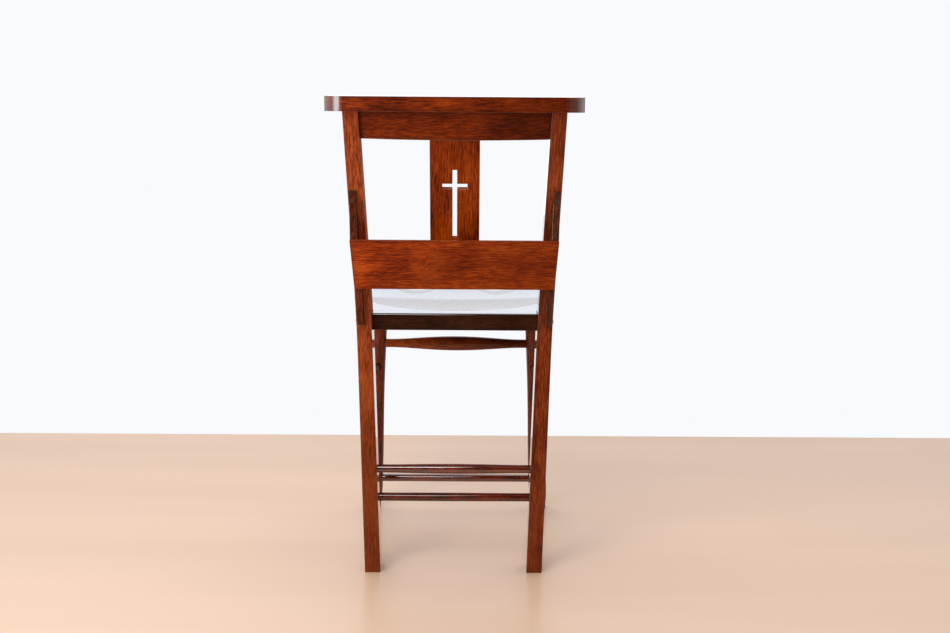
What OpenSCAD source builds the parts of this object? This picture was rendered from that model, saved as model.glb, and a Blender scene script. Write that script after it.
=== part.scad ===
// A wooden choir chair: a saddled seat slab on two turned front legs and two raked back posts,
// with a ledge across the top, a splat with a cross cut through it, and a slanting pocket for
// hymn books on the back. The sitter faces -Y, +Z is up, and the floor is at zero.

/* [Overall] */
// Height of the whole chair, from the floor to the top of the ledge
overall_h = 830; // [760:5:900]
// Height of the seat's flat rear rim
seat_h = 454; // [420:2:480]

/* [Ledge] */
// Width of the ledge board, side to side
ledge_w = 420; // [400:1:460]
// Depth of the ledge board, front to back
ledge_d = 105; // [90:1:130]
// Thickness of the ledge board
ledge_t = 24; // [18:1:30]
// How far the ledge reaches behind the rear faces of the posts
ledge_overhang = 40; // [20:1:50]
// Radius of the ledge's two rear corners
ledge_rear_r = 31; // [10:1:40]
// Radius of the ledge's two front corners
ledge_front_r = 9; // [4:1:20]

/* [Back posts] */
// Half of the spread of the posts' outer faces at the floor
post_half_foot = 156; // [148:1:170]
// Half of the spread of the posts' outer faces at the top
post_half_top = 183; // [174:1:190]
// Width of a post's rear face at the floor
post_w_foot = 27.5; // [26:0.5:34]
// Width of a post's rear face at the top
post_w_top = 25.5; // [23:0.5:30]
// Depth of a post at the floor, front to back
post_d_foot = 40; // [34:1:48]
// Depth of a post at the seat
post_d_seat = 50; // [42:1:58]
// Depth of a post at the top
post_d_top = 38; // [32:1:46]
// How far the foot of a post stands behind its bend
foot_kick = 46; // [20:1:60]
// How far the top of a post leans behind its bend
back_lean = 100; // [60:1:120]
// Half the height over which a post bends
bend_run = 70; // [40:1:80]
// How far the seat's rear edge stands in front of the posts' rear faces
seat_recess = 20; // [10:1:28]

/* [Back] */
// Height of the crest rail
crest_h = 49.5; // [36:0.5:60]
// Thickness of the crest rail
crest_t = 20; // [16:1:24]
// Height of the lower back rail
low_rail_h = 46; // [34:1:56]
// Thickness of the lower back rail
low_rail_t = 18; // [15:1:22]
// Start of the lower back rail, as a share of the back's height above the seat
low_rail_rise_share = 0.137; // [0.12:0.001:0.2]
// How far the ends of both rails stand in front of the posts' rear faces
rail_recess = 9; // [6:1:12]
// How far the middle of both rails bows towards the rear
rail_bow = 8; // [3:0.5:12]
// Width of the splat
splat_w = 83; // [76:1:110]
// Thickness of the splat
splat_t = 11; // [9:0.5:13]

/* [Cross cut through the splat] */
// Length of the cross's upright, as a share of the splat's length between the rails
cross_h_share = 0.55; // [0.4:0.01:0.6]
// Span of the cross's arms
cross_w = 42; // [30:0.5:60]
// Width of the upright
cross_upright_w = 7.6; // [6:0.1:12]
// Height of the arms
cross_arm_h = 8.6; // [6:0.1:12]
// Start of the cross below the crest rail, as a share of the splat's length
cross_drop_share = 0.237; // [0.2:0.001:0.3]
// Middle of the arms below the top of the cross, as a share of the upright's length
cross_arm_drop_share = 0.236; // [0.18:0.001:0.32]

/* [Seat] */
// Depth of the seat, front to back
seat_depth = 334; // [330:1:370]
// Thickness of the seat slab
seat_t = 30; // [27:1:36]
// Half the width of the seat where it is widest
seat_half_front = 187; // [180:1:200]
// Half the width of the seat just in front of the posts
seat_half_rear = 167; // [160:1:169]
// Radius of the seat's front corners
seat_corner_r = 52; // [30:1:70]
// How far the seat's front edge bows forward in the middle
seat_front_bow = 7; // [2:1:14]
// Depth of the round dish in the seat
dish_depth = 9; // [4:0.5:12]
// Radius of the dish's outline
dish_r = 176; // [150:1:190]
// Distance from the seat's rear edge to the rim of the dish
dish_rear_rim = 32; // [28:1:60]
// Depth of the two thigh hollows at the seat's front edge
hollow_depth = 10; // [4:0.5:12]
// Radius of the two thigh hollows
hollow_r = 150; // [90:1:200]
// Distance of each hollow from the middle of the seat
hollow_x = 76; // [60:1:90]
// Angle at which the hollows run down to the front
hollow_fall = 3; // [1:0.5:6]

/* [Front legs] */
// How far the leg axes stand in from the seat's widest point, at the seat
leg_side_inset = 39; // [32:1:46]
// How far the legs splay to the side between the seat and the floor
leg_splay_side = 20; // [5:1:26]
// How far the leg axes stand back from the seat's front edge, at the seat
leg_front_inset = 62; // [54:1:80]
// How far the legs splay to the front between the seat and the floor
leg_splay_front = 38; // [10:1:44]
// Diameter of a leg at the seat
leg_top_d = 29; // [26:0.5:34]
// Diameter of a leg at its waist
leg_waist_d = 27.5; // [25:0.5:34]
// Diameter of a leg at its swelling
leg_belly_d = 35.5; // [30:0.5:40]
// Diameter of a leg where it meets the floor
leg_foot_d = 29; // [24:0.5:34]
// Height of a leg's swelling above the floor
leg_belly_h = 40; // [30:1:90]
// Distance from the seat down a leg to its waist
leg_waist_drop = 135; // [100:1:170]
// Diameter of the round tenon that enters the seat
leg_tenon_d = 20; // [16:0.5:24]
// Length of that tenon
leg_tenon_l = 17; // [12:0.5:18]

/* [Stretchers] */
// Distance from the seat's underside down to the upper front stretcher
front_up_drop = 78; // [65:1:90]
// Diameter of the upper front stretcher in the middle
front_up_d = 28; // [18:0.5:30]
// Diameter of the upper front stretcher at its ends
front_up_end_d = 16.5; // [12:0.5:17]
// Height of the lower front stretcher
front_low_h = 63; // [55:1:72]
// Height of the upper rear stretcher
rear_up_h = 178; // [172:1:230]
// Diameter of the upper rear stretcher
rear_up_d = 17.5; // [14:0.5:20]
// Height of the lower rear stretcher
rear_low_h = 128; // [120:1:150]
// Diameter of the plain stretchers in the middle
plain_d = 15; // [13:0.5:18]
// Diameter of the plain stretchers at their ends
plain_end_d = 14.5; // [12:0.5:15]
// Distance from the seat's underside down to an upper side stretcher, at its front leg
side_up_front_drop = 126; // [112:1:140]
// Distance from the seat's underside down to an upper side stretcher, at its back post
side_up_rear_drop = 75; // [55:1:95]
// Diameter of an upper side stretcher in the middle
side_up_d = 21; // [16:0.5:24]
// Height of a lower side stretcher at its front leg
side_low_front_h = 102; // [98:1:120]
// Height of a lower side stretcher at its back post
side_low_rear_h = 100; // [90:1:108]

/* [Book pocket] */
// Start of the pocket panel, as a share of the back's height above the seat
panel_rise_share = 0.1435; // [0.12:0.0005:0.25]
// Height of the pocket panel, as a share of the back's height
panel_h_share = 0.256; // [0.17:0.001:0.28]
// Thickness of the pocket panel, square to its face
panel_t = 9; // [7:0.5:12]
// Room between the posts and the panel at the panel's top
pocket_mouth = 39; // [30:1:60]
// Room between the posts and the panel at the panel's bottom
pocket_heel = 8.5; // [6:0.5:20]
// Thickness of the pocket's side boards
side_board_t = 12; // [8:0.5:15]
// How far the side boards stand in from the posts' outer faces
side_board_inset = 2; // [1:0.5:6]
// Rise of the side boards above the panel, as a share of the back's height
side_board_rise_share = 0.2285; // [0.15:0.0005:0.25]
// Length of the narrow upper end of a side board
nose_l = 26; // [14:1:30]
// Depth of the narrow upper end of a side board
nose_d = 12; // [8:0.5:16]
// Depth of the lower end of a side board
heel_d = 13; // [8:0.5:16]
// Thickness of the pocket's bottom board
pocket_floor_t = 9; // [6:0.5:12]

/* [Fittings] */
// Diameter of the seat bolts
bolt_d = 6; // [5:0.5:8]
// Diameter of the seat bolts' domed heads
bolt_head_d = 13; // [10:0.5:16]
// Height of the domed heads
bolt_head_h = 4; // [2:0.1:5]
// Diameter of the barrel nuts inside the seat
nut_d = 12; // [10:0.5:14]
// Diameter of the screws in the side boards
screw_d = 3.5; // [3:0.1:4.5]
// Diameter of those screws' heads
screw_head_d = 7; // [6:0.1:8.5]
// Length of those screws
screw_l = 32; // [24:1:36]
// Diameter of the panel pins
pin_d = 1.6; // [1.2:0.1:2.2]
// Diameter of the panel pins' heads
pin_head_d = 3.2; // [2.6:0.1:4]
// Length of the panel pins
pin_l = 22; // [16:1:26]

/* [Joints] */
// Clearance on each side of a tenon or a bar in its socket
fit = 0.1; // [0.05:0.05:0.2]
// Room left at the blind end of each socket
end_room = 0.5; // [0.3:0.1:1]
// How far a rail's tenons enter the posts
tenon_l = 15; // [10:1:17]
// How far a stretcher's ends enter the posts
socket_l = 16; // [12:1:17]
// Distance left between a stretcher's tip and a front leg's axis
tip_inset = 4; // [3:0.5:6]

/* [Hidden] */
$fn = 64;

// Finishes as the photograph shows them: one reddish stain, darker where less of it was wiped off
stain = [0.50, 0.19, 0.08];
stain_dark = [0.30, 0.11, 0.06];
steel = [0.70, 0.70, 0.68];

// One overrun for every cut, and a length past every edge of the chair
over = ledge_t / 12;
beyond = overall_h;

// Levels
post_top = overall_h - ledge_t;
seat_base = seat_h - seat_t;
bend_h = seat_h - seat_t / 2;
back_h = post_top - seat_h;

// Slopes of a post's rear face below and above its bend
low_slope = foot_kick / bend_h;
up_slope = back_lean / (post_top - bend_h);
rake = atan(up_slope);
bend_y = seat_recess - (low_slope + up_slope) * bend_run / 4;
bend_steps = 10;

// How far the rear face stands behind the bend's corner at height z, with the corner rounded
function lean(z) =
    let (u = z - bend_h)
    u <= -bend_run ? -low_slope * u :
    u >= bend_run ? up_slope * u :
    -low_slope * u + (low_slope + up_slope) * pow(u + bend_run, 2) / (4 * bend_run);

function mix_of(a, b, share) = a + (b - a) * share;
function rear_y(z) = bend_y + lean(z);
function post_depth(z) =
    z < bend_h ? mix_of(post_d_foot, post_d_seat, z / bend_h)
               : mix_of(post_d_seat, post_d_top, (z - bend_h) / (post_top - bend_h));
function front_y(z) = rear_y(z) - post_depth(z);
function half_out(z) = mix_of(post_half_foot, post_half_top, z / post_top);
function half_in(z) = half_out(z) - mix_of(post_w_foot, post_w_top, z / post_top);
half_out_slope = (post_half_top - post_half_foot) / post_top;
function post_mid_x(z) = (half_out(z) + half_in(z)) / 2;
function post_mid_y(z) = rear_y(z) - post_depth(z) / 2;

// Heights along the raked back, measured up its slope from the bend
function up_rake(z) = (z - bend_h) / cos(rake);
crest_low = up_rake(post_top) - crest_h;
low_rail_low = up_rake(seat_h + low_rail_rise_share * back_h);
low_rail_top = low_rail_low + low_rail_h;
splat_l = crest_low - low_rail_top;

// Turn of the legs and their tenons about the axis, so that each starts on its outer side
seam_turn = 240;

// Front legs: a point on the axis at height z
leg_top_x = seat_half_front - leg_side_inset;
leg_top_y = -seat_depth + leg_front_inset;
function leg_at(z) =
    let (down = 1 - z / seat_base)
    [leg_top_x + leg_splay_side * down, leg_top_y - leg_splay_front * down, z];
leg_run = norm(leg_at(seat_base) - leg_at(0));
leg_waist = leg_run - leg_waist_drop;

// The pocket panel's front face, as how far back it stands at height z
panel_low = seat_h + panel_rise_share * back_h;
panel_h = panel_h_share * back_h;
panel_top = panel_low + panel_h;
function panel_y(z) =
    mix_of(rear_y(panel_low) + pocket_heel, rear_y(panel_top) + pocket_mouth, (z - panel_low) / panel_h);
panel_slant = atan((panel_y(panel_top) - panel_y(panel_low)) / panel_h);
panel_run = panel_t / cos(panel_slant);
side_board_top = panel_top + side_board_rise_share * back_h;

// Seat bolts and their barrel nuts
bolt_y = (front_y(bend_h)) / 2;
nut_x = half_in(bend_h) - 2.3 * nut_d;
nut_h = seat_t * 0.72;

// The chair stands centred over the origin: half way between its front and rear edges
ledge_back = rear_y(post_top) + ledge_overhang;
chair_front = min(-seat_depth, leg_at(0).y - leg_belly_d / 2);
middle_y = (ledge_back + chair_front) / 2;

module place() { translate([0, -middle_y, 0]) children(); }

// Frame of the raked back: its plane y = 0 is the posts' rear faces above the bend
module on_rake() { translate([0, bend_y, bend_h]) rotate([-rake, 0, 0]) children(); }

module both_sides() {
    children();
    mirror([1, 0, 0]) children();
}

// Child drawn up +Z is set along the line from p to q
module along(p, q) {
    d = q - p;
    translate(p) rotate([0, acos(d.z / norm(d)), atan2(d.y, d.x)]) children();
}

// Outline in the Y-Z plane, as thick as the chair is wide
module from_side(outline, half_x = beyond) {
    translate([-half_x, 0, 0]) rotate([90, 0, 90]) linear_extrude(2 * half_x) polygon(outline);
}

// Outline in the X-Z plane, as thick as the chair is deep
module from_rear(outline) {
    translate([0, beyond, 0]) rotate([90, 0, 0]) linear_extrude(2 * beyond) polygon(outline);
}

// A turned bar from p to q: round ends that fit their sockets, and a swelling between them
swell_steps = 12;
module turned_bar(p, q, end_d, mid_d, end_l) {
    length = norm(q - p);
    swell = length - 2 * end_l;
    outline = concat(
        [[0, 0], [end_d / 2, 0]],
        [for (i = [0 : swell_steps])
            [mix_of(end_d, mid_d, pow(sin(180 * i / swell_steps), 1.25)) / 2,
             end_l + swell * i / swell_steps]],
        [[end_d / 2, length], [0, length]]);
    along(p, q) rotate_extrude() polygon(outline);
}

// The socket that a turned bar's ends need, with room past both tips
module bar_socket(p, q, end_d) {
    u = (q - p) / norm(q - p);
    along(p - u * end_room, q + u * end_room)
        cylinder(d = end_d + 2 * fit, h = norm(q - p) + 2 * end_room);
}

// Heights of the upper stretchers, which follow the seat
front_up_h = seat_base - front_up_drop;
side_up_front_h = seat_base - side_up_front_drop;
side_up_rear_h = seat_base - side_up_rear_drop;

// Where each stretcher's tips lie, written for the chair's left side (+X)
function mirrored(p) = [-p.x, p.y, p.z];
function leg_tip(z) = leg_at(z) - [tip_inset, 0, 0];
function post_tip(z) = [half_in(z) + socket_l, post_mid_y(z), z];
function side_rear_tip(z) = [post_mid_x(z), front_y(z) + socket_l, z];
function side_front_tip(z) = leg_at(z) + [0, tip_inset, 0];
bar_end_l = 2 * socket_l;

module front_bar(z, end_d, mid_d) { turned_bar(mirrored(leg_tip(z)), leg_tip(z), end_d, mid_d, bar_end_l); }
module rear_bar(z, mid_d) { turned_bar(mirrored(post_tip(z)), post_tip(z), plain_end_d, mid_d, bar_end_l); }
module side_bar(rear_z, front_z, mid_d) {
    turned_bar(side_rear_tip(rear_z), side_front_tip(front_z), plain_end_d, mid_d, bar_end_l);
}

// Back posts, written for the left side
post_zs = concat([0], [for (i = [0 : bend_steps]) bend_h - bend_run + 2 * bend_run * i / bend_steps],
                 [post_top]);
post_outline = concat([for (z = post_zs) [rear_y(z), z]],
                      [for (i = [len(post_zs) - 1 : -1 : 0]) [front_y(post_zs[i]), post_zs[i]]]);

module post_blank() {
    intersection() {
        from_side(post_outline);
        from_rear([[half_in(0), 0], [half_out(0), 0], [half_out(post_top), post_top],
                   [half_in(post_top), post_top]]);
    }
}

// The round tenon on a post's top, and its socket in the ledge
post_tenon_share = 0.6;
post_tenon_d = post_w_top * post_tenon_share;
post_tenon_h = ledge_t * post_tenon_share;
module post_tenon(play = 0) {
    translate([post_mid_x(post_top), post_mid_y(post_top), post_top - over])
        cylinder(d = post_tenon_d + 2 * play, h = post_tenon_h + over + (play > 0 ? end_room : 0));
}

// Everything that is cut into the left post
module post_cuts() {
    rail_tenon(crest_low + crest_h / 2, crest_h, crest_t, fit);
    rail_tenon(low_rail_low + low_rail_h / 2, low_rail_h, low_rail_t, fit);
    bar_socket(mirrored(post_tip(rear_up_h)), post_tip(rear_up_h), plain_end_d);
    bar_socket(mirrored(post_tip(rear_low_h)), post_tip(rear_low_h), plain_end_d);
    bar_socket(side_rear_tip(side_up_rear_h), side_front_tip(side_up_front_h), plain_end_d);
    bar_socket(side_rear_tip(side_low_rear_h), side_front_tip(side_low_front_h), plain_end_d);
    bolt_bore();
    pocket_screw(fit);
}

module post() {
    place() union() {
        difference() {
            post_blank();
            post_cuts();
        }
        post_tenon();
    }
}

// The inside of the pair of posts, which trims whatever is fitted between them
module between_posts() {
    from_rear([[-half_in(0), 0], [half_in(0), 0], [half_in(overall_h), overall_h],
               [-half_in(overall_h), overall_h]]);
}

// A bowed rail across the back: low edge and height along the rake
module bowed_rail(low, height, thick) {
    half = half_in(post_top);
    bow_r = (half * half + rail_bow * rail_bow) / (2 * rail_bow);
    rear = rail_bow - rail_recess;
    intersection() {
        between_posts();
        from_side([[-beyond, 0], [beyond, 0], [beyond, post_top], [-beyond, post_top]]);
        on_rake() translate([0, rear - bow_r, low]) difference() {
            cylinder(r = bow_r, h = height + over, $fn = 360);
            translate([0, 0, -over]) cylinder(r = bow_r - thick, h = height + 3 * over, $fn = 360);
            translate([0, -bow_r, 0]) cube([2 * beyond, 2 * bow_r, 4 * beyond], center = true);
        }
    }
}

// A rail's tenon in the left post, at a height up the rake; play widens it into a mortise
rail_tenon_h_share = 0.62;
rail_tenon_t_share = 0.5;
module rail_tenon(mid, rail_h, rail_t, play = 0) {
    shoulder = half_in(bend_h + mid * cos(rake));
    tall = rail_h * rail_tenon_h_share + 2 * play;
    thick = rail_t * rail_tenon_t_share + 2 * play;
    root = rail_recess;
    on_rake() translate([shoulder - root, -rail_recess - rail_t / 2 - thick / 2, mid - tall / 2])
        cube([root + tenon_l + (play > 0 ? end_room : 0), thick, tall]);
}

// The splat's tongue in either rail; play widens it into a groove
splat_y = rail_bow - rail_recess - low_rail_t / 2;
tongue_l = splat_t * 0.8;
module splat_tongue(z, sign, play = 0) {
    wide = splat_w - 2 * splat_t + 2 * play;
    thick = splat_t / 2 + 2 * play;
    reach = tongue_l + (play > 0 ? end_room : 0);
    on_rake() translate([-wide / 2, splat_y - thick / 2, sign > 0 ? z - over : z - reach])
        cube([wide, thick, reach + over]);
}

module ledge() {
    front = ledge_back - ledge_d;
    place() color(stain) difference() {
        translate([0, 0, post_top]) linear_extrude(ledge_t) polygon(concat(
            corner_arc(ledge_w / 2 - ledge_rear_r, ledge_back - ledge_rear_r, ledge_rear_r, 0),
            corner_arc(-ledge_w / 2 + ledge_rear_r, ledge_back - ledge_rear_r, ledge_rear_r, 90),
            corner_arc(-ledge_w / 2 + ledge_front_r, front + ledge_front_r, ledge_front_r, 180),
            corner_arc(ledge_w / 2 - ledge_front_r, front + ledge_front_r, ledge_front_r, 270)));
        both_sides() post_tenon(fit);
    }
}

// Points of a quarter round about (x, y), starting at angle a
arc_steps = 10;
function corner_arc(x, y, r, a) =
    [for (i = [0 : arc_steps]) [x + r * cos(a + 90 * i / arc_steps), y + r * sin(a + 90 * i / arc_steps)]];

module crest_rail() {
    place() color(stain) difference() {
        union() {
            bowed_rail(crest_low, crest_h, crest_t);
            both_sides() rail_tenon(crest_low + crest_h / 2, crest_h, crest_t);
        }
        splat_tongue(crest_low, 1, fit);
    }
}

module lower_back_rail() {
    place() color(stain) difference() {
        union() {
            bowed_rail_cut(low_rail_low, low_rail_h, low_rail_t);
            both_sides() rail_tenon(low_rail_low + low_rail_h / 2, low_rail_h, low_rail_t);
        }
        splat_tongue(low_rail_top, -1, fit);
    }
}

// The lower rail ends at its own height, square to the rake
module bowed_rail_cut(low, height, thick) {
    intersection() {
        bowed_rail(low, height, thick);
        on_rake() translate([-beyond, -beyond, low]) cube([2 * beyond, 2 * beyond, height]);
    }
}

module splat() {
    cross_top = crest_low - cross_drop_share * splat_l;
    cross_h = cross_h_share * splat_l;
    arms_low = cross_top - cross_arm_drop_share * cross_h - cross_arm_h / 2;
    place() color(stain) union() {
        difference() {
            on_rake() translate([-splat_w / 2, splat_y - splat_t / 2, low_rail_top])
                cube([splat_w, splat_t, splat_l]);
            on_rake() translate([-cross_upright_w / 2, splat_y - splat_t, cross_top - cross_h])
                cube([cross_upright_w, 2 * splat_t, cross_h]);
            on_rake() translate([-cross_w / 2, splat_y - splat_t, arms_low])
                cube([cross_w, 2 * splat_t, cross_arm_h]);
        }
        splat_tongue(crest_low, 1);
        splat_tongue(low_rail_top, -1);
    }
}

module left_post() { color(stain) post(); }
module right_post() { color(stain) mirror([1, 0, 0]) post(); }

// The seat's outline seen from above: straight tapering sides, round front corners, bowed front
front_steps = 8;
seat_side_fwd_share = 0.72;
function seat_front_y(x) = -seat_depth + seat_front_bow * pow(x / seat_half_front, 2);
function seat_corner() =
    let (cx = seat_half_front - seat_corner_r, cy = seat_front_y(cx) + seat_corner_r)
    corner_arc(cx, cy, seat_corner_r, 270);
seat_half_outline = concat(
    [for (i = [1 : front_steps])
        let (x = (seat_half_front - seat_corner_r) * i / (front_steps + 1)) [x, seat_front_y(x)]],
    seat_corner(),
    [[seat_half_front, -seat_depth * seat_side_fwd_share], [seat_half_rear, front_y(bend_h)],
     [seat_half_rear, 0]]);
seat_outline = concat(seat_half_outline,
                      [for (i = [len(seat_half_outline) - 1 : -1 : 0])
                          [-seat_half_outline[i].x, seat_half_outline[i].y]],
                      [[0, -seat_depth]]);

// The ball whose cap is the dish, and the two round hollows for the thighs
dish_ball_r = (dish_r * dish_r + dish_depth * dish_depth) / (2 * dish_depth);
module saddle_cuts() {
    translate([0, -dish_rear_rim - dish_r, seat_h - dish_depth + dish_ball_r])
        rotate([90, 0, 0]) sphere(r = dish_ball_r, $fn = 360);
    both_sides() translate([hollow_x, -seat_depth, seat_h - hollow_depth + hollow_r])
        rotate([90 + hollow_fall, 0, 0])
            cylinder(r = hollow_r, h = 2 * seat_depth, center = true, $fn = 180);
}

module leg_socket() {
    u = (leg_at(seat_base) - leg_at(0)) / leg_run;
    along(leg_at(seat_base) - u * leg_tenon_l, leg_at(seat_base) + u * (leg_tenon_l + end_room))
        rotate(seam_turn) cylinder(d = leg_tenon_d + 2 * fit, h = 2 * leg_tenon_l + end_room);
}

module seat() {
    place() color(stain_dark) difference() {
        translate([0, 0, seat_base]) linear_extrude(seat_t) polygon(seat_outline);
        both_sides() post_blank();
        saddle_cuts();
        both_sides() {
            leg_socket();
            bolt_bore();
            nut_bore();
        }
    }
}

// Front legs, turned: the outline runs up the axis from below the floor to the tenon's shoulder
leg_steps = 10;
function leg_d(s) =
    let (fall = (s - leg_belly_h) / (leg_waist - leg_belly_h))
    s < leg_belly_h ? mix_of(leg_foot_d, leg_belly_d, sin(90 * s / leg_belly_h)) :
    s < leg_waist ? mix_of(leg_belly_d, leg_waist_d, (1 - cos(180 * fall)) / 2) :
    mix_of(leg_waist_d, leg_top_d, (s - leg_waist) / (leg_run - leg_waist));

module leg_blank() {
    below = leg_foot_d;
    outline = concat(
        [[0, -below], [leg_foot_d / 2, -below]],
        [for (i = [0 : leg_steps / 2]) let (s = leg_belly_h * 2 * i / leg_steps) [leg_d(s) / 2, s]],
        [for (i = [1 : leg_steps]) let (s = mix_of(leg_belly_h, leg_waist, i / leg_steps)) [leg_d(s) / 2, s]],
        [[leg_top_d / 2, leg_run + below], [0, leg_run + below]]);
    intersection() {
        along(leg_at(0), leg_at(seat_base)) rotate(seam_turn) rotate_extrude() polygon(outline);
        from_side([[-beyond, 0], [beyond, 0], [beyond, seat_base], [-beyond, seat_base]]);
    }
}

module leg() {
    u = (leg_at(seat_base) - leg_at(0)) / leg_run;
    place() union() {
        difference() {
            leg_blank();
            bar_socket(mirrored(leg_tip(front_up_h)), leg_tip(front_up_h), front_up_end_d);
            bar_socket(mirrored(leg_tip(front_low_h)), leg_tip(front_low_h), plain_end_d);
            bar_socket(side_rear_tip(side_up_rear_h), side_front_tip(side_up_front_h), plain_end_d);
            bar_socket(side_rear_tip(side_low_rear_h), side_front_tip(side_low_front_h), plain_end_d);
        }
        along(leg_at(seat_base) - u * leg_tenon_l, leg_at(seat_base) + u * leg_tenon_l)
            rotate(seam_turn) cylinder(d = leg_tenon_d, h = 2 * leg_tenon_l);
    }
}

module left_front_leg() { color(stain) leg(); }
module right_front_leg() { color(stain) mirror([1, 0, 0]) leg(); }

module front_upper_stretcher() { place() color(stain) front_bar(front_up_h, front_up_end_d, front_up_d); }
module front_lower_stretcher() { place() color(stain_dark) front_bar(front_low_h, plain_end_d, plain_d); }
module rear_upper_stretcher() { place() color(stain_dark) rear_bar(rear_up_h, rear_up_d); }
module rear_lower_stretcher() { place() color(stain_dark) rear_bar(rear_low_h, plain_d); }

module upper_side_stretcher() { place() side_bar(side_up_rear_h, side_up_front_h, side_up_d); }
module lower_side_stretcher() { place() side_bar(side_low_rear_h, side_low_front_h, plain_d); }
module left_upper_side_stretcher() { color(stain) upper_side_stretcher(); }
module right_upper_side_stretcher() { color(stain) mirror([1, 0, 0]) upper_side_stretcher(); }
module left_lower_side_stretcher() { color(stain_dark) lower_side_stretcher(); }
module right_lower_side_stretcher() { color(stain_dark) mirror([1, 0, 0]) lower_side_stretcher(); }

// Slab between two planes that follow the posts' outward lean, given as insets from their outer faces
module leaning_slab(outer_inset, inner_inset) {
    from_rear([[half_out(0) - inner_inset, 0], [half_out(0) - outer_inset, 0],
               [half_out(overall_h) - outer_inset, overall_h],
               [half_out(overall_h) - inner_inset, overall_h]]);
}

// Side board of the pocket, seated on the post's rear face
module pocket_side() {
    nose_low = side_board_top - nose_l;
    lean_back = [for (z = [side_board_top, nose_low]) [rear_y(z) + nose_d, z]];
    place() difference() {
        intersection() {
            from_side(concat(
                [[rear_y(bend_h) - post_d_seat / 2, bend_h],
                 [rear_y(side_board_top) - post_d_top / 2, side_board_top]],
                lean_back,
                [[panel_y(panel_top), panel_top], [panel_y(panel_low), panel_low],
                 [rear_y(bend_h) + heel_d, bend_h]]));
            leaning_slab(side_board_inset, side_board_inset + side_board_t);
        }
        from_side(post_outline);
        pocket_screw(fit);
        panel_pin(fit);
    }
}

module left_pocket_side() { color(stain) pocket_side(); }
module right_pocket_side() { color(stain) mirror([1, 0, 0]) pocket_side(); }

// Slanting panel, as wide as the outer faces of the side boards
module panel_blank() {
    intersection() {
        from_side([[panel_y(panel_low), panel_low], [panel_y(panel_low) + panel_run, panel_low],
                   [panel_y(panel_top) + panel_run, panel_top], [panel_y(panel_top), panel_top]]);
        from_rear([[half_out(0) - side_board_inset, 0],
                   [half_out(overall_h) - side_board_inset, overall_h],
                   [-half_out(overall_h) + side_board_inset, overall_h],
                   [-half_out(0) + side_board_inset, 0]]);
    }
}

module pocket_panel() {
    place() color(stain) difference() {
        panel_blank();
        both_sides() panel_pin(fit);
    }
}

// Strip that closes the pocket from below, between the rail, the posts, the sides and the panel.
// It is drawn only just into the rail, so that none of it is left under the rail's slanting face
module pocket_floor() {
    low = panel_low + over / 2;
    top = low + pocket_floor_t;
    into_rail = rail_recess + over / 2;
    place() color(stain_dark) difference() {
        intersection() {
            from_side([[rear_y(low) - into_rail, low], [panel_y(low), low], [panel_y(top), top],
                       [rear_y(top) - into_rail, top]]);
            from_rear([[half_out(0) - side_board_inset - side_board_t, 0],
                       [half_out(overall_h) - side_board_inset - side_board_t, overall_h],
                       [-half_out(overall_h) + side_board_inset + side_board_t, overall_h],
                       [-half_out(0) + side_board_inset + side_board_t, 0]]);
        }
        both_sides() post_blank();
        bowed_rail_cut(low_rail_low, low_rail_h, low_rail_t);
    }
}

// Bolt through the left post into the seat's edge, and the barrel nut that it screws into
module bolt_bore() {
    translate([nut_x - nut_d, bolt_y, bend_h]) rotate([0, 90, 0])
        cylinder(d = bolt_d + 2 * fit, h = half_out(bend_h) - nut_x + 2 * nut_d);
}

bolt_tip_x = nut_x - nut_d * 0.75;
dome_steps = 6;
module seat_bolt() {
    face = half_out(bend_h) + half_out_slope * bolt_head_d / 2 - bolt_tip_x;
    dome = [for (i = [0 : dome_steps])
        [bolt_head_d / 2 * cos(90 * i / dome_steps), face + bolt_head_h * sin(90 * i / dome_steps)]];
    translate([bolt_tip_x, bolt_y, bend_h]) rotate([0, 90, 0]) rotate_extrude()
        polygon(concat([[0, 0], [bolt_d / 2, 0], [bolt_d / 2, face]],
                       [for (i = [0 : dome_steps - 1]) dome[i]], [[0, face + bolt_head_h]]));
}

module seat_bolts() { place() color(steel) both_sides() seat_bolt(); }

module nut_bore() {
    translate([nut_x, bolt_y, seat_base - over])
        cylinder(d = nut_d + 2 * fit, h = nut_h + over + bend_h - seat_base - nut_h / 2 + end_room);
}

module barrel_nut() {
    difference() {
        translate([nut_x, bolt_y, bend_h - nut_h / 2]) cylinder(d = nut_d, h = nut_h);
        bolt_bore();
    }
}

module barrel_nuts() { place() color(steel) both_sides() barrel_nut(); }

// Countersunk screw through a side board's narrow end into the post; play makes it a bore
screw_z = side_board_top - nose_l / 2;
module pocket_screw(play = 0) {
    x = half_out(screw_z) - side_board_inset - side_board_t / 2;
    head_h = (screw_head_d - screw_d) / 2;
    on_rake() translate([x, nose_d * cos(rake), up_rake(screw_z)]) rotate([90, 0, 0]) union() {
        translate([0, 0, -over * (play > 0 ? 1 : 0)])
            cylinder(d = screw_d + 2 * play, h = screw_l + (play > 0 ? end_room + over : 0));
        cylinder(d1 = screw_head_d + 2 * play, d2 = screw_d + 2 * play, h = head_h);
        if (play > 0) translate([0, 0, -nose_d]) cylinder(d = screw_head_d + 2 * play, h = nose_d);
    }
}

module pocket_screws() { place() color(steel) both_sides() pocket_screw(); }

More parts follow.
